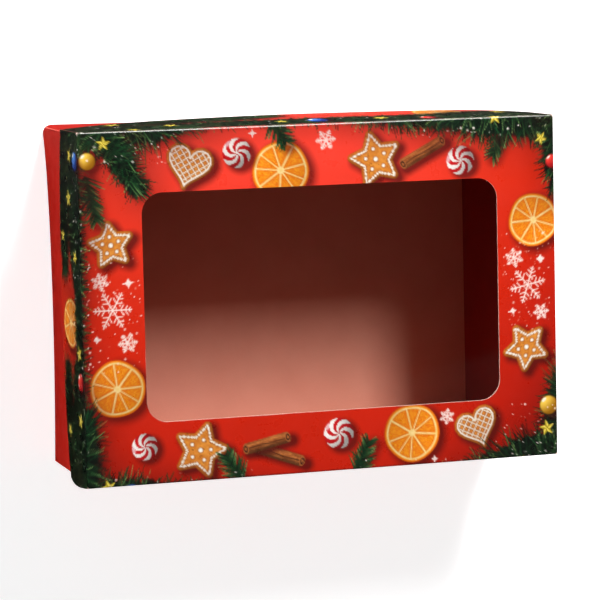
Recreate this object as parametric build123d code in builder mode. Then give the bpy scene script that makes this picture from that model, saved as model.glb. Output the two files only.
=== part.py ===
from build123d import *
import os
from math import acos, cos, sin

os.makedirs("parts", exist_ok=True)

# A two-piece gift box of thin coated card: a lid with a film window over a base tray.
# Each half is one folded blank, and a node here is one panel of it, from crease to crease.
# X runs along the box, Y across it and Z up. The origin is the middle of the underside.

# The box closed, over the outsides of the lid
card = 0.5
lid_length = 210.0
lid_width = 148.0
lid_depth = 31.0
box_height = 71.0
crease_radius = 0.4

# The window in the lid's top panel and the film glued behind it
window_end_border = 26.5
window_side_border = 26.0
window_corner_radius = 9.0
film_thickness = 0.2
film_lap = 9.0
film_corner_radius = 2.0
film_glue_thickness = 0.1
film_glue_width = 4.0
film_glue_setback = 2.5

# The lid's skirts bulge outwards along their free edges, and stay straight at the crease
long_skirt_bow = 2.8
end_skirt_bow = 1.5
bow_power = 3.4
bow_point_shares = (0.0, 0.04, 0.12, 0.28, 0.5, 0.72, 0.88, 0.96, 1.0)

# The lid's corner ears, folded from the long skirts and glued behind the end skirts
lid_ear_length = 28.0
lid_ear_taper = 3.0
lid_ear_setback = 1.5
ear_glue_thickness = 0.1
ear_glue_margin = 6.0

# The base tray inside the lid, with its rolled-over ends
side_clearance = 0.7
end_clearance = 0.6
rim_width = 2.2
rim_drop = 0.3
rim_end_gap = 0.2
base_ear_length = 52.0
base_ear_taper = 4.0
base_ear_top_gap = 0.6

# The inner end panel hangs from the rim. It is cut longer than the tray is deep, so it leans
inner_end_spare = 1.05
inner_end_side_gap = 0.7
inner_end_corner_cut = 3.0
fold_gap = 0.1
foot_gap = 0.1

# Heights that the pieces share
lid_underside = box_height - card
skirt_edge = box_height - lid_depth
rim_top = lid_underside - rim_drop
rim_underside = rim_top - card

# Plan sizes that follow from them
window_length = lid_length - 2 * window_end_border
window_width = lid_width - 2 * window_side_border
skirt_inner_end = lid_length / 2 - card
skirt_inner_side = lid_width / 2 - card
lid_ear_outer = skirt_inner_end - ear_glue_thickness
base_half_length = lid_ear_outer - card - end_clearance
base_half_width = skirt_inner_side - side_clearance
tray_half_width = base_half_width - card

# Each side's direction, along which its panel runs with the outside on the left
ALONG = {"back": (1, 0, 0), "left": (0, 1, 0), "front": (-1, 0, 0), "right": (0, -1, 0)}
TOWARDS = {"left": -1, "right": 1, "front": -1, "back": 1}


def bulge_at(share, bow):
    """How far a skirt's free edge stands out, at a share of its length from one corner."""
    return bow * (1 - abs(1 - 2 * share) ** bow_power)


def skirt_section(side, height, half_length, outer, thickness, bow):
    """A level slice of a skirt: a strip along one side, its outer face at outer plus the bulge."""
    level = Plane(origin=(0, 0, height), x_dir=ALONG[side], z_dir=(0, 0, 1))
    line = [((2 * s - 1) * half_length, outer + bulge_at(s, bow)) for s in bow_point_shares]
    inner_line = [(x, y - thickness) for x, y in line]
    with BuildSketch(level) as section:
        with BuildLine():
            Spline(*line)
            Line(line[-1], inner_line[-1])
            Spline(*reversed(inner_line))
            Line(inner_line[0], line[0])
        make_face()
    return section.sketch


def skirt_sections(side, half_length, outer, thickness, bow):
    """The straight slice at the crease and the bulging one at the free edge."""
    crease = skirt_section(side, lid_underside, half_length, outer, thickness, 0)
    edge = skirt_section(side, skirt_edge, half_length, outer, thickness, bow)
    return [crease, edge]


# Lid: the top panel with its window
with BuildPart() as lid_top_panel:
    with BuildSketch(Plane.XY.offset(lid_underside)):
        Rectangle(lid_length, lid_width)
    extrude(amount=card)
    fillet(lid_top_panel.faces().sort_by(Axis.Z)[-1].edges(), crease_radius)
    with BuildSketch(Plane.XY.offset(lid_underside)):
        RectangleRounded(window_length, window_width, window_corner_radius)
    extrude(amount=card, mode=Mode.SUBTRACT)
lid_top_panel.part.label = "lid_top_panel"
export_step(lid_top_panel.part, "parts/lid_top_panel.step")


# Lid: the four skirts. The end skirts cover the corners, and the long ones stop behind them
SKIRTS = {
    "front": (skirt_inner_end, lid_width / 2, long_skirt_bow),
    "back": (skirt_inner_end, lid_width / 2, long_skirt_bow),
    "left": (lid_width / 2, lid_length / 2, end_skirt_bow),
    "right": (lid_width / 2, lid_length / 2, end_skirt_bow),
}
for side, (half_length, outer, bow) in SKIRTS.items():
    with BuildPart() as lid_skirt:
        loft(sections=skirt_sections(side, half_length, outer, card, bow), ruled=True)
    lid_skirt.part.label = f"lid_skirt_{side}"
    export_step(lid_skirt.part, f"parts/{lid_skirt.part.label}.step")


# Lid: the four corner ears, which follow the bulge of the end skirts that they are glued to
ear_root = skirt_inner_side
ear_tip = ear_root - lid_ear_length
ear_low = skirt_edge + lid_ear_setback
for end in ("left", "right"):
    for side in ("front", "back"):
        hand = TOWARDS[side]
        with BuildPart() as lid_ear:
            loft(
                sections=skirt_sections(end, lid_width / 2, lid_ear_outer, card, end_skirt_bow),
                ruled=True,
            )
            with BuildSketch(Plane.YZ):
                with BuildLine():
                    Polyline(
                        (hand * ear_root, lid_underside),
                        (hand * ear_tip, lid_underside - lid_ear_taper),
                        (hand * ear_tip, ear_low + lid_ear_taper),
                        (hand * ear_root, ear_low),
                        close=True,
                    )
                make_face()
            extrude(amount=lid_length, both=True, mode=Mode.INTERSECT)
        lid_ear.part.label = f"lid_ear_{side}_{end}"
        export_step(lid_ear.part, f"parts/{lid_ear.part.label}.step")


# Lid: the glue between each ear and its end skirt
with BuildPart() as lid_ear_glue:
    for end in ("left", "right"):
        loft(
            sections=skirt_sections(
                end, lid_width / 2, skirt_inner_end, ear_glue_thickness, end_skirt_bow
            ),
            ruled=True,
        )
    with BuildSketch(Plane.YZ):
        with Locations(
            (-(ear_root + ear_tip) / 2, (lid_underside + ear_low) / 2),
            ((ear_root + ear_tip) / 2, (lid_underside + ear_low) / 2),
        ):
            Rectangle(
                lid_ear_length - 2 * ear_glue_margin,
                lid_underside - ear_low - 2 * ear_glue_margin,
            )
    extrude(amount=lid_length, both=True, mode=Mode.INTERSECT)
lid_ear_glue.part.label = "lid_ear_glue"
export_step(lid_ear_glue.part, "parts/lid_ear_glue.step")


# Lid: the ring of glue that holds the film
glue_inner = 2 * film_glue_setback
glue_outer = glue_inner + 2 * film_glue_width
with BuildPart() as film_glue_line:
    with BuildSketch(Plane.XY.offset(lid_underside - film_glue_thickness)):
        RectangleRounded(
            window_length + glue_outer,
            window_width + glue_outer,
            window_corner_radius + film_glue_setback + film_glue_width,
        )
        RectangleRounded(
            window_length + glue_inner,
            window_width + glue_inner,
            window_corner_radius + film_glue_setback,
            mode=Mode.SUBTRACT,
        )
    extrude(amount=film_glue_thickness)
film_glue_line.part.label = "film_glue_line"
export_step(film_glue_line.part, "parts/film_glue_line.step")


# Lid: the clear film behind the window
with BuildPart() as window_film:
    with BuildSketch(Plane.XY.offset(lid_underside - film_glue_thickness - film_thickness)):
        RectangleRounded(
            window_length + 2 * film_lap, window_width + 2 * film_lap, film_corner_radius
        )
    extrude(amount=film_thickness)
window_film.part.label = "window_film"
export_step(window_film.part, "parts/window_film.step")


# Base: the floor, with rounded creases underneath
with BuildPart() as base_floor:
    with BuildSketch():
        Rectangle(2 * base_half_length, 2 * base_half_width)
    extrude(amount=card)
    fillet(base_floor.faces().sort_by(Axis.Z)[0].edges(), crease_radius)
base_floor.part.label = "base_floor"
export_step(base_floor.part, "parts/base_floor.step")


# Base: the two long walls, which carry the lid
for side in ("front", "back"):
    with BuildPart() as base_wall:
        with BuildSketch(Plane.XY.offset(card)):
            with Locations((0, TOWARDS[side] * (base_half_width - card / 2))):
                Rectangle(2 * (base_half_length - card), card)
        extrude(amount=lid_underside - card)
    base_wall.part.label = f"base_wall_{side}"
    export_step(base_wall.part, f"parts/{base_wall.part.label}.step")


# Base: at each end the outer panel, the strip across its rim and the inner panel
panel_drop = rim_underside - card - foot_gap
panel_length = panel_drop + inner_end_spare
lean = acos(panel_drop / panel_length)
panel_half_width = tray_half_width - inner_end_side_gap
for end in ("left", "right"):
    hand = TOWARDS[end]
    with BuildPart() as base_end:
        with BuildSketch(Plane.XY.offset(card)):
            with Locations((hand * (base_half_length - card / 2), 0)):
                Rectangle(card, 2 * base_half_width)
        extrude(amount=rim_underside - card)
    base_end.part.label = f"base_end_{end}"
    export_step(base_end.part, f"parts/{base_end.part.label}.step")

    with BuildPart() as base_rim:
        with BuildSketch(Plane.XY.offset(rim_underside)):
            with Locations((hand * (base_half_length - rim_width / 2), 0)):
                Rectangle(rim_width, 2 * (tray_half_width - rim_end_gap))
        extrude(amount=card)
        outer_edge = base_rim.edges().filter_by(Axis.Y).group_by(Axis.Z)[-1]
        fillet(outer_edge.sort_by(Axis.X)[0 if hand < 0 else -1], crease_radius)
    base_rim.part.label = f"base_rim_{end}"
    export_step(base_rim.part, f"parts/{base_rim.part.label}.step")

    fold_line = Vector(hand * (base_half_length - rim_width), 0, rim_underside)
    panel_plane = Plane(
        origin=fold_line, x_dir=(0, hand, 0), z_dir=(-hand * cos(lean), 0, sin(lean))
    )
    with BuildPart() as inner_end:
        with BuildSketch(panel_plane):
            with BuildLine():
                Polyline(
                    (-panel_half_width, fold_gap),
                    (panel_half_width, fold_gap),
                    (panel_half_width, panel_length - inner_end_corner_cut),
                    (panel_half_width - inner_end_corner_cut, panel_length),
                    (inner_end_corner_cut - panel_half_width, panel_length),
                    (-panel_half_width, panel_length - inner_end_corner_cut),
                    close=True,
                )
            make_face()
        extrude(amount=card)
    inner_end.part.label = f"inner_end_{end}"
    export_step(inner_end.part, f"parts/{inner_end.part.label}.step")


# Base: the four corner ears, folded from the long walls and caught inside the ends
base_ear_top = rim_underside - base_ear_top_gap
base_ear_tip = tray_half_width - base_ear_length
for end in ("left", "right"):
    for side in ("front", "back"):
        hand = TOWARDS[side]
        ear_plane = Plane.YZ.offset(TOWARDS[end] * (base_half_length - card))
        with BuildPart() as base_ear:
            with BuildSketch(ear_plane):
                with BuildLine():
                    Polyline(
                        (hand * tray_half_width, base_ear_top),
                        (hand * base_ear_tip, base_ear_top - base_ear_taper),
                        (hand * base_ear_tip, card + base_ear_taper),
                        (hand * tray_half_width, card),
                        close=True,
                    )
                make_face()
            extrude(amount=-TOWARDS[end] * card)
        base_ear.part.label = f"base_ear_{side}_{end}"
        export_step(base_ear.part, f"parts/{base_ear.part.label}.step")
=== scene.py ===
import math
from math import pi

import bmesh
import bpy
import numpy as np
from mathutils import Euler, Matrix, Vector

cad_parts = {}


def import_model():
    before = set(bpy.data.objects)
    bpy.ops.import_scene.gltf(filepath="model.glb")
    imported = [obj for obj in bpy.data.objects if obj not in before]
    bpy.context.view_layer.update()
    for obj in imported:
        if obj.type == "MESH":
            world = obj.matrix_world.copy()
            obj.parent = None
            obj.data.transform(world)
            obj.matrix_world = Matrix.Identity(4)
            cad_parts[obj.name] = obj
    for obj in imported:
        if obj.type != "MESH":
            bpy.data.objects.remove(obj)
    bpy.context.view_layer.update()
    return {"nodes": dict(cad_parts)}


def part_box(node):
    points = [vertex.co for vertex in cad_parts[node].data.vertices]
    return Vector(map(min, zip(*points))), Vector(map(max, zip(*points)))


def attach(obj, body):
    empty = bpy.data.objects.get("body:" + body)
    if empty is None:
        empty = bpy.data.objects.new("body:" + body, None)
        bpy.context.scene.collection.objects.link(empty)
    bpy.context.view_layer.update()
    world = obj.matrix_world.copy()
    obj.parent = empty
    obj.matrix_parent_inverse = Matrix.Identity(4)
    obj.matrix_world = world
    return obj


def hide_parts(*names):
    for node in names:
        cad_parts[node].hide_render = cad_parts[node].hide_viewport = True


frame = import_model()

# The row frame is in metres: X along the box, Y across it, Z up out of the window.
# The box's shapes are worked out in millimetres, and scaled by MM when its meshes are made.
MM = 0.001
SKIRT_STEP = 0.4
PANEL_STEP = 0.47


def box_mm(node):
    """A CAD node's lowest and highest corner in millimetres."""
    low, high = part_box(node)
    return np.array(low) / MM, np.array(high) / MM


# Sizes taken from the frame
panel_low, panel_high = box_mm("lid_top_panel")
LID_X, LID_Y, LID_TOP = panel_high
CARD = panel_high[2] - panel_low[2]
SKIRT_EDGE = box_mm("lid_skirt_back")[0][2]
SKIRT_DEPTH = LID_TOP - SKIRT_EDGE
_, floor_high = box_mm("base_floor")
BASE_X, BASE_Y = floor_high[0], floor_high[1]
WALL_TOP = box_mm("base_wall_back")[1][2]
rim_low, rim_high = box_mm("base_rim_right")
RIM_IN, RIM_TOP = rim_low[0], rim_high[2]
film_low, film_high = box_mm("window_film")
flap_low, _ = box_mm("inner_end_right")

# Sizes that the frame doesn't give
WINDOW_X = 78.5
WINDOW_Y = 48.0
WINDOW_RADIUS = 9.0
CREASE = 0.8
PLAN_CORNER = 1.1
BASE_CREASE = 0.7
LONG_BOW = 2.8
END_BOW = 1.5
BOW_POWER = 3.4
BASE_END_DISH = 1.2
CORNER_BOW = 1.0
BASE_BACK_BULGE = 1.6
BASE_CORNER_FLARE = 1.0
BASE_CORNER_ROUND = 4.0
EAR_TAPER = 4.0
FLAP_CORNER = 3.0
FLAP_START = 0.1
FILM_SAG = 0.25
SKIRT_RIPPLE = 0.12
ARC_ROWS = 4
INNER_ROWS = 9
WALL_STEP = 2.0
CREASE_PALE_WIDTH = 0.36
SHARP_DEGREES = 35

# Where each side's panel runs along, and which way it faces
ALONG = {"back": (1, 0), "left": (0, 1), "front": (-1, 0), "right": (0, -1)}
OUT = {"back": (0, 1), "left": (-1, 0), "front": (0, -1), "right": (1, 0)}


# Meshes

def link(name, data):
    made = bpy.data.objects.new(name, data)
    bpy.context.scene.collection.objects.link(made)
    return made


def quads(first, second, ring):
    """Quads between two neighbouring rows of vertex numbers, columns first."""
    if ring:
        first = np.append(first, first[:1])
        second = np.append(second, second[:1])
    return np.column_stack([first[:-1], first[1:], second[1:], second[:-1]])


def shell(name, node, outer, inner, materials, ring=False, colours=None, wear_and_sheen=None):
    """A closed panel of card in place of a CAD node, from a fine outer grid and a plainer inner one
    that share their columns.

    Material 0 covers the outside, 1 the inside and 2 the cut edges. A fourth covers the cut edges at
    the two ends. Wear and sheen, which is rubbing plus the lid's painted highlights, is for each
    point of the outside, or for each of its rows.
    """
    columns, outer_rows = outer.shape[:2]
    inner_rows = inner.shape[1]
    outside = np.arange(columns * outer_rows).reshape(columns, outer_rows)
    inside = outside.size + np.arange(columns * inner_rows).reshape(columns, inner_rows)
    rows = [(outside[:, row], outside[:, row + 1], 0) for row in range(outer_rows - 1)]
    rows += [(inside[:, row + 1], inside[:, row], 1) for row in range(inner_rows - 1)]
    rows += [(inside[:, 0], outside[:, 0], 2), (outside[:, -1], inside[:, -1], 2)]
    groups = [(quads(first, second, ring), slot) for first, second, slot in rows]
    faces = [face for group, _ in groups for face in group.tolist()]
    slots = [slot for group, slot in groups for _ in group]
    if not ring:
        for column in (0, -1):
            faces.append(outside[column].tolist() + inside[column][::-1].tolist())
            slots.append(min(3, len(materials) - 1))
    points = np.concatenate([outer.reshape(-1, 3), inner.reshape(-1, 3)]) * MM
    mesh = bpy.data.meshes.new(name)
    mesh.from_pydata(points.tolist(), [], faces)
    mesh.polygons.foreach_set("material_index", slots)
    for material in materials:
        mesh.materials.append(material)
    if colours is not None:
        full = np.ones((len(points), 4), np.float32)
        full[:, :3] = 0
        full[: len(colours), :3] = colours
        mesh.attributes.new("print", "FLOAT_COLOR", "POINT").data.foreach_set("color", full.ravel())
    if wear_and_sheen is not None:
        full = np.zeros(len(points), np.float32)
        full[: outside.size] = np.broadcast_to(wear_and_sheen, outside.shape).ravel()
        mesh.attributes.new("wear_and_sheen", "FLOAT", "POINT").data.foreach_set("value", full)
    work = bmesh.new()
    work.from_mesh(mesh)
    bmesh.ops.recalc_face_normals(work, faces=work.faces)
    work.to_mesh(mesh)
    work.free()
    mesh.shade_smooth()
    mesh.set_sharp_from_angle(angle=math.radians(SHARP_DEGREES))
    piece = link(name, mesh)
    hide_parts(node)
    return piece


def spread(low, high, step):
    """Evenly spaced values from low to high, about a step apart."""
    return np.linspace(low, high, max(2, round((high - low) / step) + 1))


def grid(x, y, z):
    """Points from coordinates that spread over each other, columns first."""
    return np.stack(np.broadcast_arrays(x, y, z), axis=-1)


def on_side(side, run, reach, height):
    """Points of one side's panel, from how far along it, out of the middle and up they are."""
    along, out = ALONG[side], OUT[side]
    return grid(run * along[0] + reach * out[0], run * along[1] + reach * out[1], height)


# The four corners, in the order in which the outlines go round
SIGNS = np.array([(1, 1), (-1, 1), (-1, -1), (1, -1)])


def rounded_outline(half_x, half_y, radius, flats, turns):
    """Points round a rounded rectangle. flats and turns are how many each straight and corner has."""
    centres = SIGNS * (half_x - radius, half_y - radius)
    points = []
    for corner, centre in enumerate(centres):
        points.append(centre + radius * ray(pi / 2 * (corner + np.arange(turns) / turns)))
        start = centre + radius * ray(pi / 2 * (corner + 1))
        count = flats[corner % 2]
        share = (np.arange(count) / count)[:, None]
        points.append(start + (centres[(corner + 1) % 4] - centre) * share)
    return np.concatenate(points)


def square_outline(half_x, half_y, radius, window, flats, turns):
    """The outline that goes with rounded_outline's points: beside each window flat it is straight
    across, and beside each window corner it goes round its own rounded corner."""
    flat_x, flat_y = window[0] - window[2], window[1] - window[2]
    centre = np.array([half_x - radius, half_y - radius])
    run_in = centre[1] - flat_y
    arc = radius * pi / 2
    total = run_in + arc + centre[0] - flat_x

    def quarter(distance):
        """Points along one corner, from beside the window's short flat to beside its long one."""
        angle = unit((distance - run_in) / arc) * pi / 2
        short = np.minimum(distance - run_in, 0)
        past = np.maximum(distance - run_in - arc, 0)
        return centre + radius * ray(angle) + np.column_stack([-past, short])

    points = []
    for corner, sign in enumerate(SIGNS):
        distance = np.arange(turns) / turns * total
        count = flats[corner % 2]
        share = 1 - 2 * np.arange(count) / count
        if corner % 2 == 0:
            flat = np.column_stack([flat_x * share, np.full(count, half_y)])
        else:
            distance = total - distance
            flat = np.column_stack([np.full(count, half_x), flat_y * share])
        points += [quarter(distance) * sign, flat * sign]
    return np.concatenate(points)


# The printed design: everything below works on the flat sheet, in millimetres. The top panel is
# where it is on the lid, and the skirts lie folded out around it.

SHEET_CREASE = CREASE * (pi / 2 - 2)
CLOUD_CELLS = 97


def srgb(*levels):
    return np.array(levels, float) / 255


def linear(colour):
    """Linear light from display values."""
    colour = unit(colour)
    return np.where(colour <= 0.04045, colour / 12.92, ((colour + 0.055) / 1.055) ** 2.4)


def unit(value):
    return np.clip(value, 0, 1)


def ray(angle):
    """The point of the unit circle at an angle."""
    return np.stack([np.cos(angle), np.sin(angle)], axis=-1)


def cloud(points, cell, seed):
    """Smooth noise from 0 to 1 with about one hill per cell."""
    table = np.random.default_rng(seed).random((CLOUD_CELLS, CLOUD_CELLS))
    low = np.floor(points / cell).astype(int).T
    part = points.T / cell - low
    (i, j), (i2, j2) = low % CLOUD_CELLS, (low + 1) % CLOUD_CELLS
    x, y = part * part * (3 - 2 * part)
    near_row = table[i, j] * (1 - x) + table[i2, j] * x
    far_row = table[i, j2] * (1 - x) + table[i2, j2] * x
    return near_row * (1 - y) + far_row * y


def inside(distance, soft=0.3):
    """1 where a signed distance is inside a shape, 0 outside, and soft at its edge."""
    return unit(0.5 - distance / soft)


def blend(low, high, share):
    """From colour low to colour high by a share for each point."""
    share = unit(share)[:, None]
    return low * (1 - share) + high * share


def capsule(points, start, end, radius):
    """Signed distance to a round-ended line."""
    start, end = np.array(start), np.array(end)
    run = end - start
    share = unit((points - start) @ run / (run @ run))
    return np.hypot(*(points - start - share[:, None] * run).T) - radius


def polygon(points, corners):
    """Signed distance to a closed outline."""
    corners = np.array(corners)
    least = np.full(len(points), 1e9)
    crossings = np.zeros(len(points), int)
    x, y = points.T
    for start, end in zip(corners, np.roll(corners, -1, axis=0)):
        least = np.minimum(least, capsule(points, start, end, 0))
        straddles = (start[1] > y) != (end[1] > y)
        rise = end[1] - start[1] if end[1] != start[1] else 1e-9
        crossings += straddles & (x < (end[0] - start[0]) * (y - start[1]) / rise + start[0])
    return np.where(crossings % 2 == 1, -least, least)


def star_shape(radius, waist=0.52):
    corners = np.arange(10)
    reach = np.where(corners % 2 == 0, radius, radius * waist)
    return reach[:, None] * ray(corners * pi / 5)[:, ::-1]


def heart_shape(radius):
    t = np.arange(28) * 2 * pi / 28
    x = 16 * np.sin(t) ** 3
    y = 13 * np.cos(t) - 5 * np.cos(2 * t) - 2 * np.cos(3 * t) - np.cos(4 * t) + 2
    return np.column_stack([x, y]) * radius / 16


# The ground's reds from brightest to deepest: their spread is partly print and partly painted shade
BRIGHT_RED = srgb(248, 64, 47)
MIDDLE_RED = srgb(214, 37, 10)
DEEP_RED = srgb(166, 16, 1)
SHADOW_RED = srgb(66, 8, 8)
FROST = srgb(255, 240, 232)
MIDDLE_SHARE = 0.42
SHADOW_SHIFT = np.array([1.9, -1.5])
LIGHT_FROM = np.array([-0.55, 0.6, 0.58])


def ground_shade_falloff(across, up):
    """How deep the ground's red is: it is brightest high up in the middle of the lid, and
    deepens downwards, towards both sides and most into the right-hand corners. This gradient is
    partly the print's own tone and partly painted shade of the light falling off across the lid."""
    across, up = np.clip(across, -1, 1), np.clip(up, -1, 1)
    right = unit(across) ** 2
    return unit(0.29 - 0.35 * up + 0.15 * across ** 4 + 0.24 * right + 0.18 * right * up ** 2)


def turned(points, turn):
    """Points as they are in a turned frame."""
    c, s = math.cos(turn), math.sin(turn)
    return points @ np.array([[c, -s], [s, c]])


class Sheet:
    """Points of the flat sheet and the ink on each, as display values."""

    def __init__(self, points):
        self.points = points
        self.x, self.y = points.T.copy()
        # Partly painted shade: the ground deepens away from the lid's upper middle
        shade_falloff = ground_shade_falloff(self.x / LID_X, self.y / LID_Y)
        tone = 0.975 + 0.03 * cloud(points, 26.0, 3)
        ground = blend(BRIGHT_RED, MIDDLE_RED, shade_falloff / MIDDLE_SHARE)
        ground = blend(ground, DEEP_RED, (shade_falloff - MIDDLE_SHARE) / (1 - MIDDLE_SHARE))
        self.ink = ground * tone[:, None]

    def near(self, place, reach, turn=0.0):
        """The points within reach of a place, as numbers and as offsets in a turned frame."""
        beside = (np.abs(self.x - place[0]) < reach) & (np.abs(self.y - place[1]) < reach)
        close = np.flatnonzero(beside)
        return close, turned(self.points[close] - place, turn)

    def lay(self, close, colour, alpha):
        alpha = alpha[:, None]
        self.ink[close] = self.ink[close] * (1 - alpha) + colour * alpha

    def shadow(self, place, reach, turn, shape, depth=0.62, blur=4.2):
        """The soft shadow that a thing lying on the ground throws down and to the right."""
        close, offset = self.near(place + SHADOW_SHIFT, reach + 2 * blur, turn)
        fade = unit(1 - (shape(offset) + 0.6) / blur) ** 1.6
        self.lay(close, SHADOW_RED, depth * fade)

    def under(self, place, reach, turn, shape, *shade):
        """Lay a thing's shadow, then give the points round it and each one's distance outside it."""
        self.shadow(place, reach, turn, shape, *shade)
        close, p = self.near(place, reach * 1.15, turn)
        return close, p, shape(p)


def polar(p):
    """Distance from the middle and angle of each point."""
    x, y = p.T
    return np.hypot(x, y), np.arctan2(y, x)


def citrus(sheet, place, turn, radius, seed):
    """A dried slice of orange."""
    bumps = np.random.default_rng(seed).uniform(0, 2 * pi, 3)

    def shape(p):
        reach, angle = polar(p)
        wobble = 0.015 * np.sin(3 * angle + bumps[0]) + 0.012 * np.sin(5 * angle + bumps[1])
        return reach - radius * (1 + wobble)

    close, p, edge = sheet.under(place, radius, turn, shape)
    reach, angle = polar(p)
    wedges = 9
    sector = (angle / (2 * pi) * wedges + 0.18 * np.sin(2 * angle + bumps[2])) % 1
    wall = np.minimum(sector, 1 - sector) * 2 * pi * reach / wedges
    flesh = np.minimum(np.minimum(wall - 0.34, -edge - 0.15 * radius), reach - 0.13 * radius)
    streak = cloud(np.column_stack([angle * 26, reach * 1.3]), 1.0, seed)
    fine = cloud(np.column_stack([angle * 60, reach * 2.2]), 1.0, seed + 1)
    colour = blend(srgb(250, 206, 120), srgb(255, 226, 160), cloud(p, 1.2, seed + 2))
    pulp = blend(srgb(233, 104, 8), srgb(255, 176, 40), 0.65 * streak + 0.35 * fine)
    depth = unit(1 - (flesh / 1.6)) ** 2
    pulp = blend(pulp, srgb(214, 88, 6), 0.45 * depth)
    colour = blend(colour, pulp, inside(-flesh, 0.45))
    rind = blend(srgb(252, 150, 24), srgb(214, 84, 8), (edge + 0.075 * radius) / (0.075 * radius))
    colour = blend(colour, rind, inside(-(edge + 0.085 * radius), 0.5))
    colour = colour * (0.95 + 0.09 * (p @ ray(turn + 2.3)) / radius)[:, None]
    sheet.lay(close, colour, inside(edge))


def biscuit(sheet, place, turn, radius, seed, corners, rounding, icing):
    """A ginger biscuit with a baked edge, pores and piped icing, lit from one side."""
    outline = corners(radius) * (1 - rounding / radius)

    def shape(p):
        return polygon(p, outline) - rounding

    close, p, edge = sheet.under(place, radius, turn, shape, 0.7, 3.6)
    crumb = 0.6 * cloud(p, 0.9, seed) + 0.4 * cloud(p, 3.1, seed + 1)
    colour = blend(srgb(196, 108, 32), srgb(236, 158, 66), crumb)
    baked = unit(1 + edge / (0.22 * radius)) ** 2.2
    colour = blend(colour, srgb(134, 62, 16), 0.85 * baked)
    gap = 0.35
    dx = shape(p + (gap, 0)) - edge
    dy = shape(p + (0, gap)) - edge
    light = turned(LIGHT_FROM[:2], turn)
    lit = (dx * light[0] + dy * light[1]) / gap * unit(1 + edge / 1.8)
    colour = colour * (1 + 0.32 * lit)[:, None]
    colour = blend(colour, srgb(112, 50, 12), inside(cloud(p, 0.7, seed + 5) * 6 - 0.75, 0.6) * 0.6)
    sheet.lay(close, colour, inside(edge))
    line = icing(p, edge, outline)
    sheet.lay(close, srgb(120, 56, 18), inside(line - 0.25, 0.7) * 0.55 * inside(edge))
    shade = unit(-line / 0.5)
    sheet.lay(close, blend(srgb(224, 206, 184), srgb(255, 250, 238), shade), inside(line, 0.3))


def beaded(p, edge, outline):
    """Icing as a wavy line inside the edge, with a bead on each arm and one in the middle."""
    reach, angle = polar(p)
    line = np.abs(edge + 1.7 + 0.22 * np.sin(angle * 46)) - 0.42
    for corner in outline[::2]:
        line = np.minimum(line, np.hypot(*(p - corner * 0.42).T) - 0.75)
    return np.minimum(line, reach - 1.0)


def lattice(p, edge, outline):
    """Icing as an edge line with a criss-cross inside it."""
    line = np.abs(edge + 1.5) - 0.4
    x, y = p.T
    for way in (x + y, x - y):
        thread = np.abs((way / 3.3) % 1 - 0.5) * 3.3 / 1.414 - 0.26
        line = np.minimum(line, np.maximum(thread, edge + 1.7))
    return line


def star_biscuit(*spot):
    biscuit(*spot, star_shape, 1.9, beaded)


def heart_biscuit(*spot):
    biscuit(*spot, heart_shape, 1.2, lattice)


def ball_shade(p, radius):
    """How lit a ball is at each point, and its distance from the middle as a share."""
    reach = unit(polar(p)[0] / radius)
    normal = np.column_stack([p / radius, np.sqrt(1 - reach ** 2)])
    return normal @ (LIGHT_FROM / np.linalg.norm(LIGHT_FROM)), reach


def ball(sheet, place, radius, dark, bright):
    """A shiny bauble or berry."""
    close, p, edge = sheet.under(place, radius, 0.0, lambda p: polar(p)[0] - radius, 0.6, 2.6)
    facing, reach = ball_shade(p, radius)
    colour = blend(dark, bright, unit(0.15 + 0.95 * facing) ** 1.4)
    colour = blend(colour, srgb(255, 250, 235), unit((facing - 0.93) / 0.05) * 0.9)
    colour = blend(colour, dark * 0.4, unit((reach - 0.86) / 0.14) * 0.55)
    sheet.lay(close, colour, inside(edge))


def mint(sheet, place, turn, radius, seed):
    """A round boiled sweet with swirled stripes."""
    close, p, edge = sheet.under(place, radius, turn, lambda p: polar(p)[0] - radius, 0.65, 3.2)
    reach, angle = polar(p)
    swirl = np.sin(6 * (angle + 1.25 * (reach / radius) ** 1.3))
    colour = blend(srgb(250, 240, 232), srgb(205, 18, 26), 0.5 + swirl * 5)
    facing, _ = ball_shade(p, radius * 1.12)
    colour = colour * (0.62 + 0.42 * unit(facing) ** 0.8)[:, None]
    colour = blend(colour, srgb(255, 255, 255), unit((facing - 0.95) / 0.04) * 0.7)
    sheet.lay(close, colour, inside(edge))


def cinnamon(sheet, place, turn, length, seed):
    """A rolled stick of bark."""
    half = length / 2

    def shape(p):
        return capsule(p, (-half, 0), (half, 0), 2.3)

    close, p, _ = sheet.under(place, half + 3, turn, shape, 0.7, 3.2)
    x, y = p.T
    body = np.maximum(np.abs(x) - half, np.abs(y) - 2.4)
    grain = cloud(p * (0.25, 1.6), 1.0, seed)
    fine = cloud(p * (0.8, 4.5), 1.0, seed + 1)
    colour = blend(srgb(104, 48, 20), srgb(196, 120, 62), 0.6 * grain + 0.4 * fine)
    colour = colour * (0.62 + 0.5 * unit(1 - (y / 2.6 - 0.35) ** 2))[:, None]
    seam = np.abs(y + 0.1 + 0.2 * np.sin(x * 0.4)) - 0.22
    colour = blend(colour, srgb(52, 22, 10), inside(seam, 0.4) * 0.85)
    sheet.lay(close, colour, inside(body))
    for end in (-half, half):
        reach = np.hypot((x - end) * 1.7, y)
        roll = blend(srgb(60, 26, 12), srgb(168, 96, 50), 0.5 + np.sin(reach * 4.2))
        sheet.lay(close, roll, inside(reach - 2.1))


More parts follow.
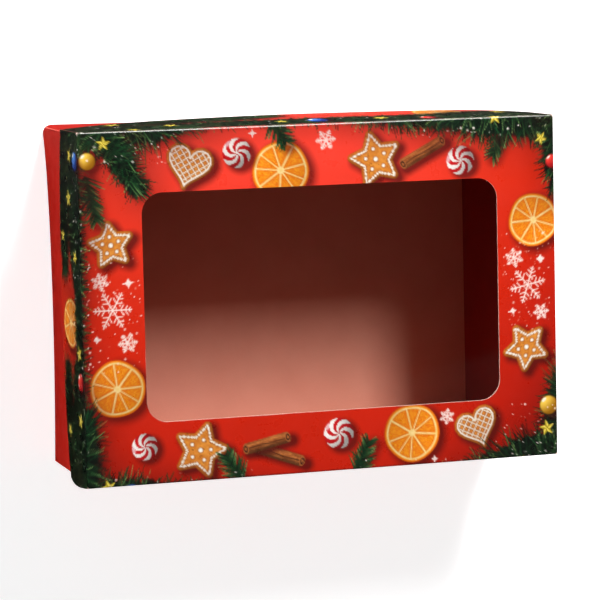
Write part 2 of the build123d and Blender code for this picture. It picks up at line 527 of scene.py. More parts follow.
def snowflake(sheet, place, turn, radius, seed):
    """A white six-armed snowflake."""
    close, p = sheet.near(place, radius * 1.1, turn)
    reach, angle = polar(p)
    sixth = pi / 3
    angle = np.abs((angle + sixth / 2) % sixth - sixth / 2)
    arm = reach[:, None] * ray(angle)
    line = capsule(arm, (0, 0), (radius, 0), 0.3)
    for share, size in ((0.42, 0.26), (0.66, 0.2), (0.86, 0.11)):
        tip = (radius * (share + size * 0.6), radius * size)
        line = np.minimum(line, capsule(arm, (radius * share, 0), tip, 0.25))
    line = np.minimum(line, np.abs(reach - radius * 0.22) - 0.2)
    sheet.lay(close, FROST, inside(line, 0.35) * 0.92)


def sparkle(sheet, place, turn, radius, seed):
    """A thin four-pointed star."""
    close, p = sheet.near(place, radius * 1.1, turn)
    edge = np.sqrt(np.abs(p)).sum(axis=1) ** 2 - radius
    sheet.lay(close, FROST, inside(edge, 0.8) * 0.92)


def speckle(sheet, low, high, count, seed):
    """Drifting specks of snow between two corners of the sheet."""
    rng = np.random.default_rng(seed)
    places = rng.uniform(low, high, (count, 2))
    sizes = rng.choice([0.18, 0.3, 0.5], count, p=[0.6, 0.3, 0.1])
    strengths = rng.uniform(0.6, 0.95, count)
    for place, size, strength in zip(places, sizes, strengths):
        close, p = sheet.near(place, 1.2)
        sheet.lay(close, srgb(255, 238, 230), inside(polar(p)[0] - size, 0.35) * strength)


def foil_star(sheet, place, radius, turn):
    """A small gold star among the needles."""
    close, p = sheet.near(place, radius * 1.2, turn)
    edge = polygon(p, star_shape(radius, 0.42)) - 0.15
    facet = 0.5 + 0.5 * np.sin(5 * np.arctan2(p[:, 0], p[:, 1]))
    sheet.lay(close, blend(srgb(150, 128, 18), srgb(250, 226, 96), facet), inside(edge))


NEEDLE_TONES = (
    (srgb(3, 14, 8), srgb(7, 28, 16)),
    (srgb(5, 24, 13), srgb(12, 48, 28)),
    (srgb(10, 42, 22), srgb(32, 88, 44)),
    (srgb(18, 56, 26), srgb(140, 166, 96)),
)
TONE_SHARES = (0.34, 0.32, 0.22, 0.12)
NEEDLE_DENSITY = 0.95


def needle(sheet, close, x, y, root, turn, length, width, tone, light):
    """One tapering, slightly bowed needle. x and y are where the close points lie."""
    c, s = math.cos(turn), math.sin(turn)
    x, y = x - root[0], y - root[1]
    t = (x * c + y * s) / length
    d = np.abs(y * c - x * s + 0.06 * length * t * (1 - t))
    hit = np.flatnonzero((t > 0) & (t < 1) & (d < width + 0.2))
    if len(hit):
        t, d = t[hit], d[hit]
        half = width * (1 - 0.75 * t ** 2)
        colour = blend(tone[0], tone[1], t ** 1.5) * light
        sheet.lay(close[hit], colour, inside(d - half, 0.3))


def garland(sheet, start, end, body, size, seed):
    """A dense fir garland along a line: a soft shadow, a dark core, then needles in four tones.

    It thins towards both ends, where the needles fan out and close it.
    """
    start, end = np.array(start, float), np.array(end, float)
    length = np.hypot(*(end - start))
    way = (end - start) / length
    across = np.array([-way[1], way[0]])
    margin = body + 2.6 * size
    x, y = sheet.x - start[0], sheet.y - start[1]
    along, aside = (x * axis[0] + y * axis[1] for axis in (way, across))
    close = np.flatnonzero((along > -margin) & (along < length + margin) & (np.abs(aside) < margin))
    if not len(close):
        return
    close = close[np.argsort(along[close])]
    along, aside = along[close], aside[close]
    tip = min(1.5 * (body + size), length / 2)

    def thickness(place):
        return np.sqrt(unit(0.1 + np.minimum(place, length - place) / tip))

    def outside(x, y):
        run = np.clip(x, 0, length)
        return np.hypot(x - run, y) - body * thickness(run)

    shift = (SHADOW_SHIFT @ way, SHADOW_SHIFT @ across)
    away = outside(along - shift[0], aside - shift[1])
    wide = 0.32 * unit(1 - away / (2.2 * size)) ** 2
    tight = 0.75 * unit(1 - away / (0.9 * size)) ** 1.5
    sheet.lay(close, SHADOW_RED, np.maximum(wide, tight))
    ragged = outside(along, aside) - 0.35 * size * cloud(sheet.points[close], 2.2, seed + 7)
    sheet.lay(close, srgb(3, 11, 7), inside(ragged, 2.0) * 0.97)
    rng = np.random.default_rng(seed)
    needles = round(length * (body + size) * NEEDLE_DENSITY)
    for layer, (tone, share) in enumerate(zip(NEEDLE_TONES, TONE_SHARES)):
        for _ in range(round(needles * share)):
            place = rng.uniform(0, length)
            side = rng.choice((-1.0, 1.0))
            reach = size * rng.uniform(0.5, 1.12) * (0.88 + 0.04 * layer)
            root = (place, side * rng.uniform(-0.6, 1.0) * body * thickness(place))
            fan = 1.3 * max(0, 1 - (length - place) / tip) - 1.3 * max(0, 1 - place / tip)
            lean = rng.normal(0.3 + fan, 0.5)
            turn = math.atan2(side * math.cos(lean), math.sin(lean))
            width, light = rng.uniform(0.14, 0.27), rng.uniform(0.55, 1.25)
            part = slice(*np.searchsorted(along, (place - reach, place + reach)))
            needle(sheet, close[part], along[part], aside[part], root, turn, reach, width, tone, light)


def sprig(sheet, place, turn, length, seed):
    """A single fir twig: a thin, curved stem with needles leaning towards its tip."""
    rng = np.random.default_rng(seed)
    half = length / 2
    bend = 0.06 / length

    def shape(p):
        return capsule(p, (-half, 0), (half, 0), 2.5)

    sheet.shadow(place + ray(turn) * half, half + 4, turn, shape, 0.5, 4.0)
    close, p = sheet.near(place, length + 9, turn)
    x, y = p.T
    stem = np.maximum(np.abs(y - bend * x ** 2) - 0.45, np.abs(x - half) - half)
    sheet.lay(close, srgb(74, 44, 24), inside(stem, 0.4))
    count = round(length * 4.6)
    for k in range(count):
        share = (k + 0.5) / count
        lean = rng.normal(0.72, 0.16) * (1 if k % 2 else -1)
        reach = (8.4 - 3.4 * share) * rng.uniform(0.8, 1.1)
        root = (length * share, bend * (length * share) ** 2)
        tone = NEEDLE_TONES[rng.choice([1, 2, 2, 3])]
        needle(sheet, close, x, y, root, lean, reach, rng.uniform(0.26, 0.36), tone, 1.0)


# The layout of the design. A motif's spots are its place, its turn in degrees and its size.
MOTIFS = (
    (citrus, (-18, 55, 20, 12.5), (95, 29, 70, 11.5), (38, -60, 110, 12.5), (-91, -33, 10, 12.0),
     (60, 96, 40, 11.5), (-122, -6, 30, 10.5), (-46, -94, 75, 12.0), (121, -30, 15, 11.0)),
    (star_biscuit, (24, 58, 14, 12.5), (-56, -61, -18, 12.5), (91, -26, 30, 11.0),
     (-92, 27, 8, 10.5), (30, -92, 25, 11.0), (122, 30, 12, 10.5)),
    (heart_biscuit, (-58, 58, -16, 10.5), (68, -60, 20, 10.0), (-4, -90, -12, 9.5)),
    (mint, (-37, 63, 0, 6.2), (62, 56, 40, 6.2), (5, -58, 15, 6.6), (-80, -58, 60, 5.6),
     (84, -90, 30, 6.2)),
    (cinnamon, (45, 60, 28, 20.0), (-22, -65, -20, 22.0), (-27, -60, 12, 19.0), (-86, -92, 8, 20.0)),
    (snowflake, (92, 1, 12, 8.0), (-92, 0, 0, 8.0), (86, 13, 40, 4.0), (98, -11, 5, 3.4),
     (-97, 12, 40, 3.6), (-86, -14, 5, 4.0)),
    (sparkle, (98, 12, 0, 3.2), (85, -10, 10, 2.6), (-85, 11, 5, 3.2), (-99, -12, 0, 2.6),
     (-30, 71, 0, 2.4), (48, -72, 0, 2.4)),
    (snowflake, (54, -54, 22, 3.2), (2, 67, 5, 4.2), (120, 0, 14, 8.0), (58, -92, 5, 7.0)),
)
SPRIGS = (
    ((-102, 56), -80, 19), ((12, -76), 62, 15), ((-38, -76), 118, 14), ((84, 73), -118, 17),
    ((-22, 77), -60, 12),
)
# Each garland's two ends, the half width of its body and the length of its needles
GARLANDS = (
    ((-128, 92), (-129, 16), 4.6, 8), ((-129, -26), (-130, -92), 4.6, 8),
    ((-117, 90), (-113, 12), 5, 9), ((-115, -26), (-119, -92), 5, 9),
    ((-109, 88), (-110, -88), 3, 7), ((-122, 96), (-14, 101), 4.6, 9),
    ((52, 84), (120, 101), 5, 9), ((-122, 83), (124, 83), 5, 8),
    ((-116, 73), (-56, 79), 6.4, 11.5), ((-98, 82), (-80, 50), 3.6, 9),
    ((14, 80), (66, 74), 3.4, 9), ((52, 77), (116, 71), 6.4, 11),
    ((103, 80), (106, 42), 3, 8), ((-114, -77), (-62, -81), 5.4, 10),
    ((-105, -44), (-106, -84), 4, 9), ((-76, -80), (-18, -84), 2.6, 7.5),
    ((109, -38), (104, -84), 5.6, 11), ((114, -70), (66, -81), 7.6, 12),
    ((84, -80), (26, -85), 3, 7.5), ((106, -78), (140, -86), 5, 9), ((106, 78), (140, 84), 4, 9),
)
FOIL_STARS = (
    ((-94, 69), 2.8), ((-80, 77), 3.2), ((-121, 46), 3.8), ((-113, 22), 3.0), ((-111, -18), 3.4),
    ((-112, -46), 3.4), ((-62, 86), 3.4), ((-14, 84), 3.0), ((30, 84), 3.8), ((78, 74), 3.2),
    ((99, 64), 2.6), ((100, -62), 3.4), ((88, -76), 2.8), ((-96, -74), 3.2), ((-119, 64), 3.2),
    ((-84, 100), 4.0), ((88, 96), 4.0), ((126, -80), 3.6), ((-131, 30), 2.6), ((-130, -52), 3.0),
)
# Each ball's place, radius, dark side and bright side
BALLS = (
    ((2, 84), 4.6, srgb(14, 40, 120), srgb(70, 130, 220)),
    ((50, 80), 3.6, srgb(150, 12, 18), srgb(240, 60, 50)),
    ((-101, 62), 3.6, srgb(150, 96, 10), srgb(252, 206, 80)),
    ((-110, 62), 4.0, srgb(20, 44, 120), srgb(80, 140, 220)),
    ((-110, -30), 4.0, srgb(150, 12, 18), srgb(236, 60, 50)),
    ((101, -52), 4.2, srgb(150, 96, 10), srgb(252, 206, 80)),
    ((104, 54), 3.0, srgb(150, 12, 18), srgb(236, 60, 50)),
    ((-86, -77), 3.8, srgb(20, 44, 120), srgb(80, 140, 220)),
)
# Each patch's two corners and its number of specks
SNOWFALL = (
    ((-103, -26), (-80, 22), 90), ((80, -20), (103, 24), 90), ((-104, 60), (-60, 78), 46),
    ((30, 66), (106, 80), 60), ((-118, -80), (-104, 80), 110), ((-105, -79), (105, -70), 60),
    ((76, -76), (106, -50), 40), ((108, -60), (134, 60), 90), ((-100, -104), (100, -80), 120),
    ((-104, 80), (104, 102), 120),
)


def printed(points):
    """The linear colour of the design at points of the flat sheet."""
    sheet = Sheet(points)
    spots = [(motif, *spot) for motif, *spots in MOTIFS for spot in spots]
    for number, (motif, x, y, turn, size) in enumerate(spots):
        motif(sheet, (x, y), math.radians(turn), size, 100 + 10 * number)
    for number, (place, turn, size) in enumerate(SPRIGS):
        sprig(sheet, place, math.radians(turn), size, 500 + number)
    for number, line in enumerate(GARLANDS):
        garland(sheet, *line, 600 + number)
    for number, spot in enumerate(FOIL_STARS):
        foil_star(sheet, *spot, number * 0.7)
    for spot in BALLS:
        ball(sheet, *spot)
    for number, patch in enumerate(SNOWFALL):
        speckle(sheet, *patch, 900 + number)
    return linear(sheet.ink)


# Materials

class Tree:
    """A node tree, with short ways to add the nodes that the finishes share.

    An input's name has underscores for its spaces, and its value is a number, a colour or a socket.
    """

    def __init__(self, owner):
        owner.use_nodes = True
        self.nodes, self.links = owner.node_tree.nodes, owner.node_tree.links

    def set(self, socket, value):
        if isinstance(value, bpy.types.NodeSocket):
            self.links.new(value, socket)
        else:
            socket.default_value = value

    def fill(self, node, **inputs):
        for name, value in inputs.items():
            self.set(node.inputs[name.replace("_", " ")], value)
        return node

    def add(self, kind, *values, **inputs):
        """A new node. Values fill its inputs in their order, and the rest go by name."""
        made = self.nodes.new("ShaderNode" + kind)
        for socket, value in zip(made.inputs, values):
            self.set(socket, value)
        return self.fill(made, **inputs)

    def shade(self, **inputs):
        self.fill(self.nodes["Principled BSDF"], **inputs)

    def show(self, shader):
        self.fill(self.nodes["Material Output"], Surface=shader.outputs[0])

    def noise(self, scale, detail=4.0, rough=0.55):
        """Noise over the piece's own coordinates, scale in cells per metre."""
        place = self.add("TexCoord").outputs["Object"]
        made = self.add("TexNoise", Vector=place, Scale=scale, Detail=detail, Roughness=rough)
        return made.outputs["Fac"]

    def ranged(self, value, low, high, from_low=0.3, from_high=0.7):
        return self.add("MapRange", value, from_low, from_high, low, high).outputs["Result"]

    def patchy(self, low, high, *noise):
        """Noise spread over a range of values."""
        return self.ranged(self.noise(*noise), low, high)

    def mixed(self, share, first, second, mode="MIX"):
        made = self.nodes.new("ShaderNodeMix")
        made.data_type = "RGBA"
        made.blend_type = mode
        for name, value in (("Factor", share), ("A", first), ("B", second)):
            self.set(next(i for i in made.inputs if i.name == name and i.enabled), value)
        return next(o for o in made.outputs if o.enabled)

    def maths(self, operation, first, second):
        made = self.add("Math", first, second)
        made.operation = operation
        return made.outputs[0]

    def attribute(self, name, output):
        made = self.nodes.new("ShaderNodeAttribute")
        made.attribute_name = name
        return made.outputs[output]

    def bump(self, height, strength, distance):
        return self.add("Bump", Strength=strength, Distance=distance, Height=height).outputs["Normal"]


def material(name):
    made = bpy.data.materials.new(name)
    return made, Tree(made)


def rgba(*levels):
    return (*[float(c) for c in linear(srgb(*levels))], 1.0)


def coated_card(name, coat, rough, tints=None):
    """Semi-gloss card: ink, mottling, creases and edges paled where the wear and sheen and noise meet
    (rubbing, and on the lid painted highlights), a fine paper tooth and a lacquer coat. The ink is
    the print, or goes between two tints."""
    made, tree = material(name)
    if tints:
        ink = tree.mixed(tree.patchy(0.0, 1.0, 30.0, 3.0), rgba(*tints[0]), rgba(*tints[1]))
    else:
        ink = tree.attribute("print", "Color")
    ink = tree.mixed(tree.patchy(0.0, 0.08, 60.0, 3.0), ink, rgba(150, 120, 116), "MULTIPLY")
    ink = tree.mixed(tree.patchy(0.0, 0.006, 2600.0, 2.0), ink, rgba(255, 226, 214))
    # Paling from the wear and sheen: rubbing, and on the lid painted highlights
    rub_and_highlight = tree.maths("MULTIPLY", tree.attribute("wear_and_sheen", "Fac"), tree.noise(190.0, 6.0))
    rub_and_highlight = tree.ranged(rub_and_highlight, 0.0, 0.7, 0.2, 0.6)
    ink = tree.mixed(rub_and_highlight, ink, rgba(200, 188, 174))
    satin = tree.patchy(rough - 0.05, rough + 0.07, 160.0)
    gloss = tree.maths("ADD", satin, tree.maths("MULTIPLY", rub_and_highlight, 0.3))
    tree.shade(Base_Color=ink, Roughness=gloss, Specular_IOR_Level=0.35)
    tree.shade(Coat_Weight=coat, Coat_Roughness=0.16)
    broad = tree.maths("MULTIPLY", tree.noise(55.0, 2.0), 2.2)
    tooth = tree.maths("ADD", tree.noise(1500.0, 3.0), broad)
    tree.shade(Normal=tree.bump(tooth, 0.22, 0.00012))
    return made


def reverse_card(name):
    """The uncoated inner side of the card: a pale salmon tint with paper fibres."""
    made, tree = material(name)
    base = tree.mixed(tree.patchy(0.0, 1.0, 45.0), rgba(223, 151, 129), rgba(215, 141, 119))
    base = tree.mixed(tree.patchy(0.0, 0.3, 1900.0, 6.0, 0.7), base, rgba(232, 178, 160))
    tree.shade(Base_Color=base, Roughness=tree.patchy(0.6, 0.75, 300.0), Specular_IOR_Level=0.25)
    tree.shade(Normal=tree.bump(tree.noise(1400.0, 5.0, 0.65), 0.3, 0.00012))
    return made


def cut_edge(name, pale, dark):
    """The cut edge of the board: pulp in layers between two inked skins."""
    made, tree = material(name)
    base = tree.mixed(tree.patchy(0.0, 1.0, 2400.0, 5.0, 0.7), rgba(*pale), rgba(*dark))
    stain = tree.ranged(tree.noise(260.0, 3.0), 0.0, 0.35, 0.5, 0.75)
    base = tree.mixed(stain, base, rgba(206, 60, 48))
    tree.shade(Base_Color=base, Roughness=tree.patchy(0.7, 0.9, 900.0))
    tree.shade(Normal=tree.bump(tree.noise(3000.0, 5.0, 0.7), 0.5, 0.00015))
    return made


# How much more the film mirrors than one face would
TWO_FACES = 1.8
CLEAR_TINT = (0.985, 0.99, 0.985, 1)


def clear_film(name):
    """Clear film: see-through, with a mirror's share by angle and faint handling haze.

    The face that a ray meets first does the mirroring for both.
    """
    made, tree = material(name)
    clear = tree.add("BsdfTransparent", CLEAR_TINT).outputs[0]
    ripple = tree.bump(tree.noise(14.0, 2.0), 0.08, 0.001)
    haze = tree.patchy(0.03, 0.055, 35.0)
    gloss = tree.add("BsdfGlossy", Roughness=haze, Normal=ripple).outputs[0]
    front = tree.maths("SUBTRACT", 1.0, tree.add("NewGeometry").outputs["Backfacing"])
    mirror = tree.add("Fresnel", IOR=1.5).outputs["Fac"]
    share = tree.maths("MULTIPLY", mirror, tree.maths("MULTIPLY", TWO_FACES, front))
    tree.show(tree.add("MixShader", share, clear, gloss))
    tree.nodes.remove(tree.nodes["Principled BSDF"])
    return made


def dried_glue(name):
    made, tree = material(name)
    base = tree.mixed(tree.patchy(0.0, 1.0, 700.0), rgba(214, 200, 170), rgba(190, 172, 138))
    tree.shade(Base_Color=base, Roughness=tree.patchy(0.3, 0.5, 400.0))
    tree.shade(Normal=tree.bump(tree.noise(900.0), 0.4, 0.0001))
    return made


PRINTED = coated_card("printed_card", 0.2, 0.3)
PLAIN = coated_card("plain_red_card", 0.15, 0.34, ((204, 32, 19), (196, 28, 16)))
# The inner ends' card is the tray's red painted darker: painted shade for the shadow they stand in
SHADED_INNER = coated_card("inner_end_shaded_card", 0.1, 0.34, ((140, 13, 8), (130, 11, 7)))
LINING = coated_card("lid_lining_card", 0.0, 0.55, ((250, 60, 40), (242, 54, 36)))
REVERSE = reverse_card("card_reverse")
EDGE = cut_edge("card_cut_edge", (240, 214, 202), (214, 176, 160))
STAINED_EDGE = cut_edge("stained_cut_edge", (224, 112, 96), (202, 78, 62))
# The cut edges at the skirts' ends, at the lid's corners, are dark
DARK_END_EDGE = cut_edge("dark_cut_edge", (132, 58, 48), (96, 38, 32))
FILM = clear_film("clear_film")
GLUE = dried_glue("dried_glue")

LID_CARD = (PRINTED, LINING, EDGE, DARK_END_EDGE)
TRAY_CARD = (PLAIN, REVERSE, STAINED_EDGE)


# The lid

def crease_band(distance, width=0.45):
    """A pale band along a crease or edge, most at its middle: rubbing, and where the lid faces the
    light also a painted highlight.
    """
    return unit(1 - np.abs(distance) / width)


def lid_panel():
    """The top panel with its window, down to where its four creases turn into the skirts."""
    window = (WINDOW_X, WINDOW_Y, WINDOW_RADIUS)
    flats = [round(2 * (half - WINDOW_RADIUS) / PANEL_STEP) for half in (WINDOW_X, WINDOW_Y)]
    turns = round((LID_X - WINDOW_X + LID_Y - WINDOW_Y + 2 * WINDOW_RADIUS) / PANEL_STEP)
    rows = round((LID_X - WINDOW_X) / PANEL_STEP)
    window_line = rounded_outline(*window, flats, turns)
    limit = square_outline(LID_X - CREASE, LID_Y - CREASE, PLAN_CORNER - CREASE, window, flats, turns)
    straight = np.array([LID_X, LID_Y]) - PLAN_CORNER
    outward = limit - np.clip(limit, -straight, straight)
    outward /= np.hypot(*outward.T)[:, None]
    share = (np.arange(rows + 1) / rows)[:, None]
    flat = window_line[:, None] * (1 - share) + limit[:, None] * share
    turn = np.arange(1, ARC_ROWS + 1) / ARC_ROWS * pi / 2

    def with_crease(reach):
        """The flat panel's points, and then the crease's at these reaches past it."""
        return np.concatenate([flat, limit[:, None] + reach[:, None] * outward[:, None]], axis=1)

    fall = np.concatenate([np.zeros(rows + 1), CREASE * (1 - np.cos(turn))])
    outer = grid(*with_crease(CREASE * np.sin(turn)).transpose(2, 0, 1), LID_TOP - fall)
    inner_plan = np.stack([window_line, limit, limit + (CREASE - CARD) * outward], axis=1)
    inner = grid(*inner_plan.transpose(2, 0, 1), LID_TOP - np.array([CARD, CARD, CREASE]))
    sheet = with_crease(CREASE * turn)

    # The crease that faces the light is paled most: partly rubbing and partly a painted highlight.
    #     The print beside the window's edge is paled a little all round as rubbing, and much more low
    #     down, where that edge faces the light: a painted highlight.
    past_crease = np.concatenate([np.full(rows + 1, -LID_X), CREASE * (turn - pi / 4)])
    # Full paling on the crease that faces the light is painted highlight; the fifth elsewhere is
    # rubbing
    strength = np.where(sheet[..., 1] > LID_Y - 2 * CREASE, 1.0, 0.2)
    rub_and_highlight = crease_band(past_crease, CREASE_PALE_WIDTH) * strength
    from_window = np.hypot(*(flat - window_line[:, None]).transpose(2, 0, 1))
    from_window = np.pad(from_window, ((0, 0), (0, ARC_ROWS)), constant_values=LID_X)
    # Painted highlight along the window's lower edge, over a little rubbing all round
    lower = np.clip(0.35 - window_line[:, 1:] / WINDOW_Y, 0.1, 0.8)
    wear_and_sheen = np.maximum(rub_and_highlight, lower * crease_band(from_window, 0.5))
    colours = printed(sheet.reshape(-1, 2))
    return shell("lid_top_print", "lid_top_panel", outer, inner, LID_CARD[:3], True, colours, wear_and_sheen)


def lid_skirt(side):
    """One skirt, straight at the crease and bulging at its free edge."""
    long_side = side in ("front", "back")
    half, face, bow = (LID_X - CARD, LID_Y, LONG_BOW) if long_side else (LID_Y, LID_X, END_BOW)
    run = spread(-half, half, SKIRT_STEP)[:, None]
    depth = spread(CREASE, SKIRT_DEPTH, SKIRT_STEP)
    off_middle = np.abs(run) / half
    bulge = 1 - off_middle ** BOW_POWER
    stand = bow * bulge * (depth - CARD) / (SKIRT_DEPTH - CARD)
    ripple = SKIRT_RIPPLE * np.sin(run / 17.0 + 2.0) * (depth / SKIRT_DEPTH) ** 2
    towards_front = unit(-(run * ALONG[side][1] + face * OUT[side][1]) / LID_Y)
    corner = CORNER_BOW * np.sin(pi * (depth - CREASE) / (SKIRT_DEPTH - CREASE))
    bowed = face + stand + ripple * bulge + towards_front * off_middle ** 8 * corner
    stretched = run * (1 + np.sign(towards_front) * corner / half)
    outer = on_side(side, stretched, bowed, LID_TOP - depth)
    rows = np.linspace(0, len(depth) - 1, INNER_ROWS).round().astype(int)
    inner = outer[:, rows] - CARD * np.array([*OUT[side], 0])
    sheet = on_side(side, run, face + SHEET_CREASE + depth, 0.0)[..., :2].reshape(-1, 2)
    edge_rub = 0.6 * crease_band(SKIRT_DEPTH - depth, 0.5)
    wear_and_sheen = np.maximum(edge_rub, 0.5 * crease_band(depth - CREASE + CREASE * pi / 4))
    name = f"lid_skirt_{side}"
    return shell(name + "_print", name, outer, inner, LID_CARD, False, printed(sheet), wear_and_sheen)


def film_sheet():
    """The window film, drawn tight with a slight sag and ripple."""
    x = spread(film_low[0], film_high[0], 3.0)[:, None]
    y = spread(film_low[1], film_high[1], 3.0)
    sag = unit(1 - (x / WINDOW_X) ** 2) * unit(1 - (y / WINDOW_Y) ** 2)
    ripple = 0.05 * np.sin(x / 21.0 + 0.6) * np.cos(y / 17.0)
    top = grid(x, y, film_high[2] - sag * (FILM_SAG + ripple))
    below = top - (0, 0, film_high[2] - film_low[2])
    return shell("clear_window_film", "window_film", top, below, (FILM,) * 3)


lid_pieces = [lid_panel()] + [lid_skirt(side) for side in ALONG]
for piece in lid_pieces:
    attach(piece, "lid")
film_piece = film_sheet()
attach(film_piece, "lid")


# The base

def towards_corners(half):
    """Places from -half to half, closest together at both ends."""
    close = half - np.linspace(0, BASE_CORNER_ROUND, 7)
    middle = spread(-close[-1], close[-1], WALL_STEP)
    return np.concatenate([-close[:-1], middle, close[-2::-1]])


def dished(points):
    """Thin card isn't flat. Along the floor the base's back left corner is bent round, its ends are
    drawn in a little and its back stands out, more towards the left, as the left end does there."""
    x, y, z = points.transpose(2, 0, 1).copy()
    below_lid = unit(1 - z / SKIRT_EDGE) ** 1.5
    flare = BASE_CORNER_FLARE * below_lid * unit(-x / BASE_X) ** 6 * unit(y / BASE_Y) ** 5
    across = unit(1 - (BASE_X + x) / BASE_CORNER_ROUND)
    behind = unit(1 - (BASE_Y - y) / BASE_CORNER_ROUND)
    x += BASE_CORNER_ROUND * below_lid * across * (1 - np.sqrt(1 - behind ** 2 / 2)) - flare
    y -= BASE_CORNER_ROUND * below_lid * behind * (1 - np.sqrt(1 - across ** 2 / 2))
    leftward = unit(0.5 - 0.5 * x / BASE_X) ** 1.5
    y += BASE_BACK_BULGE * below_lid * leftward * unit(y / BASE_Y) ** 6
    bow = BASE_END_DISH * (1 - (y / BASE_Y) ** 2) * unit(1 - z / WALL_TOP)
    x -= bow * np.sign(x) * (np.abs(x) / BASE_X) ** 6
    return grid(x, y, z)


def upright(kind, side, half, face, top):
    """A base wall from the floor's crease up to its top edge."""
    run = towards_corners(half)[:, None]
    turn = np.arange(ARC_ROWS) / ARC_ROWS * pi / 2
    rise = spread(BASE_CREASE, top, WALL_STEP)
    reach = np.concatenate([face - BASE_CREASE * (1 - np.sin(turn)), np.full(len(rise), face)])
    height = np.concatenate([BASE_CREASE * (1 - np.cos(turn)), rise])
    inner_height = np.concatenate([[CARD], spread(6.0, top, 16.0)])
    outer = dished(on_side(side, run, reach, height))
    inner = dished(on_side(side, run, face - CARD, inner_height))
    bend = np.concatenate([BASE_CREASE * turn, BASE_CREASE * pi / 2 + rise - BASE_CREASE])
    wear_and_sheen = 0.8 * crease_band(bend - BASE_CREASE * pi / 4, 0.5)
    return shell(f"tray_{kind}_{side}", f"base_{kind}_{side}", outer, inner, TRAY_CARD, wear_and_sheen=wear_and_sheen)


def tray_floor():
    """The floor panel between its four creases."""
    x = towards_corners(BASE_X - BASE_CREASE)[:, None]
    y = towards_corners(BASE_Y - BASE_CREASE)
    outer = dished(grid(x, y, 0.0))
    inner = dished(grid(x * (BASE_X - CARD) / x[-1], y * (BASE_Y - CARD) / y[-1], CARD))
    return shell("tray_floor", "base_floor", outer, inner, TRAY_CARD)


def rim_strip(end, hand):
    """The strip across the top of a rolled-over end, rounded at both folds."""
    run = spread(-rim_high[1], rim_high[1], WALL_STEP)[:, None]
    nose = CARD / 2
    angles = np.linspace(-pi / 2, pi / 2, 7)
    bend, rise = nose * np.cos(angles), RIM_TOP - nose + nose * np.sin(angles)
    reach = np.concatenate([BASE_X - nose + bend, RIM_IN + nose - bend[::-1]])
    outer = grid(reach * hand, run, np.concatenate([rise, rise[::-1]]))
    underneath = outer[:, [0, -1]]
    return shell(f"tray_rim_{end}", f"base_rim_{end}", outer, underneath, (PLAIN,) * 3, wear_and_sheen=0.25)


def inner_end(end, hand):
    """The inner end panel that hangs from the rim and leans on the floor, its lower corners cut."""
    node = f"inner_end_{end}"
    half = box_mm(node)[1][1]
    top = np.array([RIM_IN, RIM_TOP - CARD])
    foot = np.array([flap_low[0] + CARD, flap_low[2]])
    length = np.hypot(*(foot - top))
    way = (foot - top) / length
    inward = np.array([way[1], -way[0]])
    down = np.sort(np.append(spread(FLAP_START, length, WALL_STEP), length - FLAP_CORNER))
    run = spread(-1, 1, WALL_STEP / half)[:, None]
    width = half - np.clip(FLAP_CORNER - (length - down), 0, FLAP_CORNER)

    def place(offset):
        x, z = (top + down[:, None] * way + offset * inward).T
        return grid(x * hand, run * width, z)

    wear_and_sheen = 0.7 * crease_band(down - FLAP_START, 0.6)
    # Its inside face is the darker red card: painted shade
    return shell("tray_" + node, node, place(CARD), place(0.0), (SHADED_INNER, REVERSE, EDGE), wear_and_sheen=wear_and_sheen)


def base_ear(side, end, hand):
    """A corner ear folded in from a long wall, behind the end panel and drawn in with it."""
    node = f"base_ear_{side}_{end}"
    low, high = box_mm(node)
    root, tip = (high[1], low[1]) if side == "back" else (low[1], high[1])
    run = spread(0, 1, WALL_STEP / abs(root - tip))[:, None]
    rise = spread(0, 1, 3.0 / (high[2] - low[2]))
    y = root + (tip - root) * run
    z = low[2] + EAR_TAPER * run + (high[2] - low[2] - 2 * EAR_TAPER * run) * rise
    face = max(abs(low[0]), abs(high[0]))
    outer, inner = (dished(grid(x * hand, y, z)) for x in (face, face - CARD))
    return shell(f"tray_ear_{side}_{end}", node, outer, inner, TRAY_CARD)


base_pieces = [tray_floor()]
for side in ("front", "back"):
    base_pieces.append(upright("wall", side, BASE_X - CARD, BASE_Y, WALL_TOP))
for end, hand in (("left", -1), ("right", 1)):
    base_pieces.append(upright("end", end, BASE_Y, BASE_X, RIM_TOP - CARD))
    base_pieces.append(rim_strip(end, hand))
    base_pieces += [base_ear(side, end, hand) for side in ("front", "back")]
    flap = inner_end(end, hand)
    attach(flap, f"end_fold_{end}")
for piece in base_pieces:
    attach(piece, "base")

# The hidden panels and glue keep their CAD shape and get their finish
for name, piece in frame["nodes"].items():
    if "glue" in name or name.startswith("lid_ear"):
        piece.data.materials.clear()
        piece.data.materials.append(GLUE if "glue" in name else LINING)


# Floor, light and camera

FLOOR_LIFT = 0.78
FLOOR_HALF = 6.0
FLOOR_GAP = 0.0003
FLOOR_GREY = (0.8, 0.8, 0.8, 1)
MIRRORED_GREY = (0.02, 0.02, 0.02, 1)


def floor_finish():
    """A plain pale floor. Its shadows stay, it goes dark in mirrors and white to the camera, and
    from below it is seen through."""
    made, tree = material("pale_floor")
    tree.shade(Base_Color=FLOOR_GREY, Roughness=0.9, Specular_IOR_Level=0.0)
    path = tree.add("LightPath").outputs
    lift = tree.maths("MULTIPLY", path["Is Camera Ray"], FLOOR_LIFT)
    glow = tree.add("Emission", Strength=lift).outputs[0]
    lifted = tree.add("AddShader", tree.nodes["Principled BSDF"].outputs[0], glow).outputs[0]
    dark = tree.add("BsdfDiffuse", MIRRORED_GREY).outputs[0]
    seen = tree.add("MixShader", path["Is Glossy Ray"], lifted, dark).outputs[0]
    through = tree.add("BsdfTransparent").outputs[0]
    below = tree.add("NewGeometry").outputs["Backfacing"]
    tree.show(tree.add("MixShader", below, seen, through))
    return made


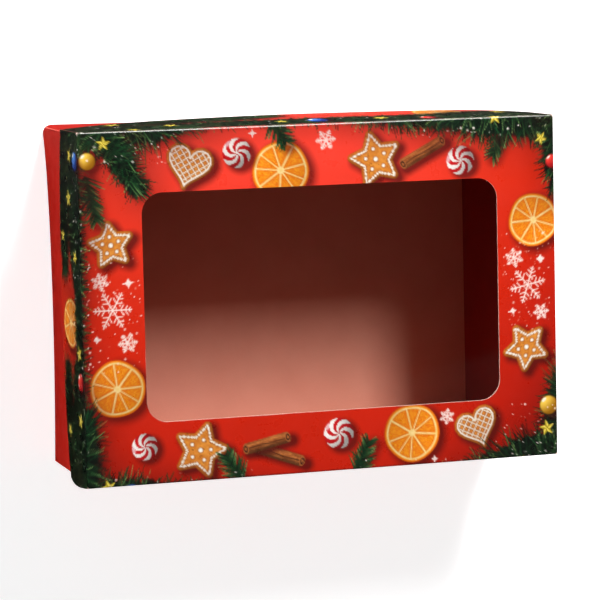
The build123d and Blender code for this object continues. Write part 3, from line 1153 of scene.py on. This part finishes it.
def studio_card(name, corners, height, finish):
    """A level four-cornered card that is part of the studio."""
    mesh = bpy.data.meshes.new(name)
    mesh.from_pydata([(x, y, height) for x, y in corners], [], [(0, 1, 2, 3)])
    mesh.materials.append(finish)
    card = link(name, mesh)
    return card


# The key is a strip softbox, up behind the box and to its right. It faces straight down, and its
# four sides are where the soft shadow of the window's rim starts and ends on the tray floor. It is
# brighter towards its far end.
KEY_HEIGHT = 1.40
KEY_X = (0.350, 0.810)
KEY_Y = (1.074, 2.30)
KEY_WATTS = 142.0
KEY_NEAR, KEY_FAR = 0.36, 1.64


def key_softbox():
    light = bpy.data.lights.new("key_softbox", "AREA")
    light.shape = "RECTANGLE"
    light.size, light.size_y = KEY_X[1] - KEY_X[0], KEY_Y[1] - KEY_Y[0]
    light.energy = KEY_WATTS
    tree = Tree(light)
    place = tree.add("SeparateXYZ", tree.add("NewGeometry").outputs["Position"]).outputs
    tree.fill(tree.nodes["Emission"], Strength=tree.ranged(place["Y"], KEY_NEAR, KEY_FAR, *KEY_Y))
    made = link("key_softbox", light)
    made.location = (sum(KEY_X) / 2, sum(KEY_Y) / 2, KEY_HEIGHT)
    made.visible_camera = False


# The fill's even level, how much more comes from low down at the left and at the right, and
# between which sines of the angle over the floor that fades away
AMBIENT = 0.055
FILL_LEFT, FILL_RIGHT = 7.0, 1.0
FILL_FADES = (0.14, 0.2)


def world():
    """A dark studio: a little even fill, and more from low down, most of it from the left, that
    reaches the box's sides but not into its window. The camera sees white past the floor."""
    made = bpy.data.worlds.new("studio")
    bpy.context.scene.world = made
    tree = Tree(made)
    path = tree.add("LightPath").outputs
    way = tree.add("SeparateXYZ", tree.add("TexCoord").outputs["Generated"]).outputs
    side = tree.ranged(way["X"], FILL_LEFT, FILL_RIGHT, -1.0, 1.0)
    low_down = tree.ranged(way["Z"], 1.0, 0.0, *FILL_FADES)
    level = tree.maths("ADD", tree.maths("MULTIPLY", side, low_down), AMBIENT)
    fill = tree.maths("MULTIPLY", path["Is Diffuse Ray"], level)
    total = tree.maths("ADD", fill, path["Is Camera Ray"])
    tree.fill(tree.nodes["Background"], Color=(1, 1, 1, 1), Strength=total)


GLINT_CORNERS = ((-0.1, -0.171), (0.5, -0.150), (0.5, -0.40), (-0.1, -0.40))
GLINT_HEIGHT = 0.97
GLINT_LEVEL = 0.06
GLINT_TINT = (1.0, 0.86, 0.8, 1)


def glint_card():
    """A dim card beside the camera that only mirrors show: a faint sheen low down on the film."""
    made, tree = material("glint_card")
    tree.show(tree.add("Emission", GLINT_TINT, GLINT_LEVEL))
    tree.nodes.remove(tree.nodes["Principled BSDF"])
    card = studio_card("glint_card", GLINT_CORNERS, GLINT_HEIGHT, made)
    card.visible_camera = card.visible_diffuse = card.visible_shadow = card.visible_transmission = False


studio_card("studio_floor", -SIGNS * FLOOR_HALF, -FLOOR_GAP, floor_finish())
key_softbox()
glint_card()
world()

YAW, PITCH, ROLL = (math.radians(a) for a in (16.99, -6.29, -1.34))
CAMERA_PLACE = (-0.3684, 0.1348, 1.2410)
FOCAL_PIXELS, PHOTO_PIXELS = 2919.1, 600
SENSOR_MM = 36.0


def camera():
    """The photograph's own camera, worked out from the box's corners in it."""
    data = bpy.data.cameras.new("photo_camera")
    data.sensor_width = SENSOR_MM
    data.lens = FOCAL_PIXELS / PHOTO_PIXELS * SENSOR_MM
    data.clip_end = 50
    made = link("photo_camera", data)
    turn = Euler((PITCH, -YAW, ROLL), "ZXY").to_matrix().to_4x4()
    made.matrix_world = Matrix.Translation(CAMERA_PLACE) @ turn
    bpy.context.scene.camera = made


camera()
bpy.context.scene.view_settings.view_transform = "Standard"
